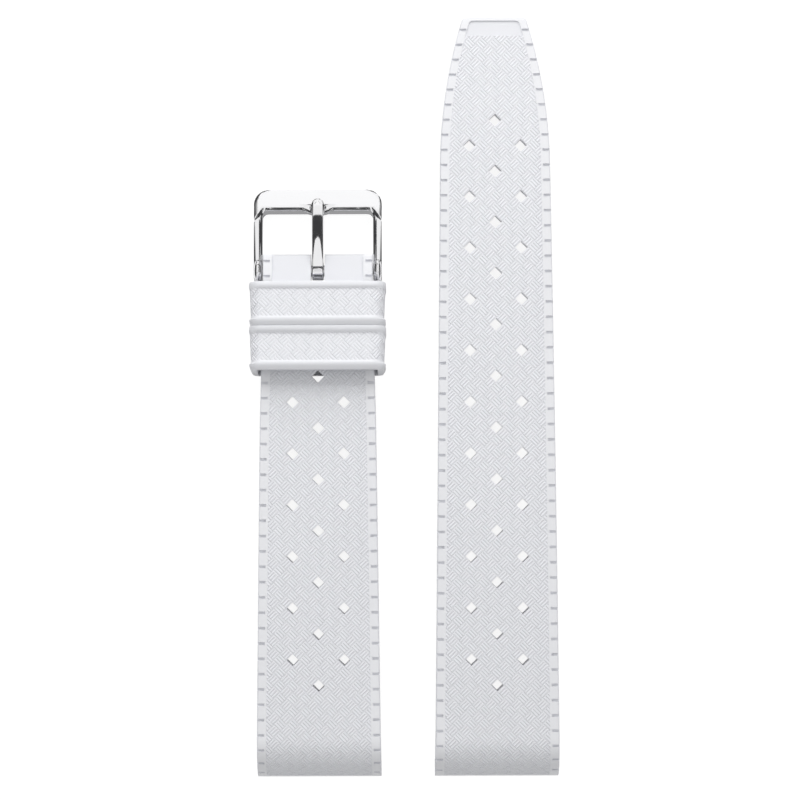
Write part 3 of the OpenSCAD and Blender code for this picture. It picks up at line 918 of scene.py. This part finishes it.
# The plate with its window, flat and with softened edges
quarter = [math.pi / 2 * i / 12 for i in range(13)]
plate = prism("frame_steel", [(frame_out, -0.4)] + [
    (frame_out - front_corner * (1 - math.cos(a)), front_v - front_corner * (1 - math.sin(a))) for a in quarter],
    -frame_t / 2, frame_t / 2)
soften(lambda edge: level_edge(edge, frame_t / 2) and max(point.co.y for point in edge.verts) > 0, edge_w, 5)
window = prism("window", [(frame_in, -20)] + [
    (frame_in - window_corner * (1 - math.cos(a)), -window_corner * (1 - math.sin(a))) for a in quarter], -9, 9)
carve(window, rod("swelling", swell_r, 30, (0, swell_r - swell, 0), (swell_lean, 0, 0), 96))
window.rotation_euler.x = -bar_tilt
window.location = (0, bar_v, frame_t / 2)
settle(window)
carve(plate, window)
soften(lambda edge: level_edge(edge, frame_t / 2) and all(
    abs(point.co.x) < frame_in + 0.01 and point.co.y < bar_v + 0.02 for point in edge.verts), edge_w, 5)
flatten_edges(plate, frame_t / 2, edge_w,
              lambda y: bar_fall + (edge_fall - bar_fall) * clipped((bar_v + 0.6 - y) / 1.2), bar_v + 0.65)

# Rows to bow it at, lines round its corners, and a slanting step down from the bar to each arm
bow_rows = [front_v * i / 30 for i in range(30)]
step_rows = [7.2 + 0.13 * i for i in range(30)]
side_lines = (3.2, 4.4, 5.6, 6.8, 7.7, 9.55, 9.8)
cut_rows(plate, bow_rows + step_rows, (0, 1, 0))
cut_rows(plate, [side * x for x in side_lines for side in (-1, 1)], (1, 0, 0))
corner_x, corner_y = frame_out - front_corner, front_v - front_corner
for side in (-1, 1):
    for turn in [math.pi / 2 * i / 6 for i in range(7)]:
        reach = corner_x * math.cos(turn) + corner_y * math.sin(turn) + front_corner
        cut_rows(plate, [reach - side_band - 0.25, reach - side_band], (side * math.cos(turn), math.sin(turn), 0))
for point in plate.data.vertices:
    x, y, z = point.co
    below = (step_y - y) * step_slant[1] - (abs(x) - arm_mid) * step_slant[0]
    ramp = clipped(below / step_run)
    beside = clipped((abs(x) - step_in) / step_blend)
    if z > 0:
        drop = arm_drop * ramp * ramp * (3 - 2 * ramp) * beside
        over, ahead = abs(x) - corner_x, max(0, y - corner_y)
        inwards = front_corner - math.hypot(over, ahead) if over > 0 else front_corner - ahead
        along_side = math.cos(math.atan2(ahead, over)) if over > 0 else 0
        drop += side_fall * max(0, side_band * along_side - inwards) * (1 - ramp)
        point.co.z -= drop * z / (frame_t / 2)
bow(plate, bow_c, bow_r, bow_start)
# The bar's foot is flat where it would dip into the table
foot_z = 0.004
for point in plate.data.vertices:
    point.co.z = max(point.co.z, foot_z)
for side in (-1, 1):
    carve(plate, turned_disc("lug", side * arm_mid, lug_r, arm_w, lug_round), "UNION")
carve(plate, rod("drill", pivot_bore_r, 3 * lug_w, (0, 0, bar_z)))

# The tongue's seat: a round trough with a dished end, and a narrow groove in it
seat_run = Vector((0, math.cos(seat_a), -math.sin(seat_a)))
seat_up = Vector((0, math.sin(seat_a), math.cos(seat_a)))
dish_place = seat_place + seat_up * (seat_r + seat_rise) + seat_run * seat_end
along_tongue = (-math.pi / 2 - seat_a, 0, 0)
carve(plate, rod("seat", seat_r, trough_len, dish_place - seat_run * (trough_len / 2), along_tongue, 128))
bpy.ops.mesh.primitive_uv_sphere_add(segments=128, ring_count=32, radius=seat_r, scale=(1, 1, 0.5),
                                     location=dish_place, rotation=along_tongue)
carve(plate, named("seat_end"))
groove_place = seat_place + seat_up * (groove_floor + groove_h / 2)
carve(plate, box("groove", groove_place - seat_run * 2.5, (groove_w, groove_len, groove_h), (-seat_a, 0, 0)))
carve(plate, rod("groove_end", groove_w / 2, groove_h, groove_place, (-seat_a, 0, 0)))

# The cuts leave a few faces lying twice on the same points; both go
shared = {}
for face in plate.data.polygons:
    points = frozenset(face.vertices)
    shared[points] = shared.get(points, 0) + 1
drop_faces(plate, lambda face: shared[frozenset(point.index for point in face.verts)] > 1, "FACE")
plate.location = (short_x, bar_y, 0)
settle(plate)
finish_piece(plate, (polish,), "frame", "polished_steel", steel_angle, "buckle_frame")

# ---- the tongue ----
# A bowed strip of the same steel whose root is rolled into an eye round the spring bar; the seam of the roll shows
# from above. Its rounded tip rests just above the hollow in the front bar.
tongue_w = 1.8
tongue_t = 1.05
tongue_edge = 0.5
tongue_fall = 0.09
under_r = 21.5
tongue_r = under_r + tongue_t / 2
tongue_c = (3.82186, -17.8379)
root_y = 0.85
root_lean = math.asin((root_y - tongue_c[0]) / under_r)
tip_lean = math.radians(20.35)
tip_half = 0.02
tongue_v = tongue_r * (tip_lean - root_lean)
eye_r = 1.5
eye_round = 0.18
eye_bore_r = 0.97
seam_size = (1.1, 0.42, 0.6)
seam_a = 0.47
strip = prism("tongue_steel", [(tongue_w / 2, 0)] + [
    (tongue_w / 2 * math.cos(a), tongue_v - tongue_w / 2 * (1 - math.sin(a))) for a in quarter[:-1]]
    + [(tip_half, tongue_v)], -tongue_t / 2, tongue_t / 2)
soften(lambda edge: level_edge(edge, tongue_t / 2) and max(point.co.y for point in edge.verts) > 0.1, tongue_edge, 6)
flatten_edges(strip, tongue_t / 2, tongue_edge, lambda y: tongue_fall)
cut_rows(strip, [tongue_v * i / 24 for i in range(1, 24)], (0, 1, 0))
bow(strip, tongue_c, tongue_r, root_lean)
carve(strip, turned_disc("eye", 0, eye_r, tongue_w, eye_round), "UNION")
carve(strip, rod("drill", eye_bore_r, 3 * lug_w, (0, 0, bar_z)))
carve(strip, box("seam", (0, 0.05, bar_z + eye_r), seam_size, (seam_a, 0, 0)))
strip.location = (short_x, bar_y, 0)
settle(strip)
finish_piece(strip, (polish,), "tongue", "polished_steel", steel_angle, "tongue")

# ---- the spring bar ----
# A drawn tube with crimped ends, the coil inside it and the two turned plungers: the solids' own shapes, finished as
# turned bright steel and as drawn wire.
turned, shader, rings = steel_paint("turned_steel", (1.0, 2.0, (14000.0, 300.0, 300.0)), (0.6, 0.6, 0.61, 1),
                                    (0.72, 0.72, 0.73, 1), least=0.18, spread=0.2)
emboss(rings, shader, 0.1, 0.00001)
drawn = steel_paint("drawn_wire", (2400.0, 3.0), (0.42, 0.42, 0.44, 1), (0.56, 0.56, 0.57, 1), least=0.25,
                    spread=0.25)[0]
for node, material in (("spring_bar_tube", turned), ("spring_bar_coil", drawn), ("left_plunger", turned),
                       ("right_plunger", turned)):
    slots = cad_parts[node].data.materials
    slots.clear()
    slots.append(material)
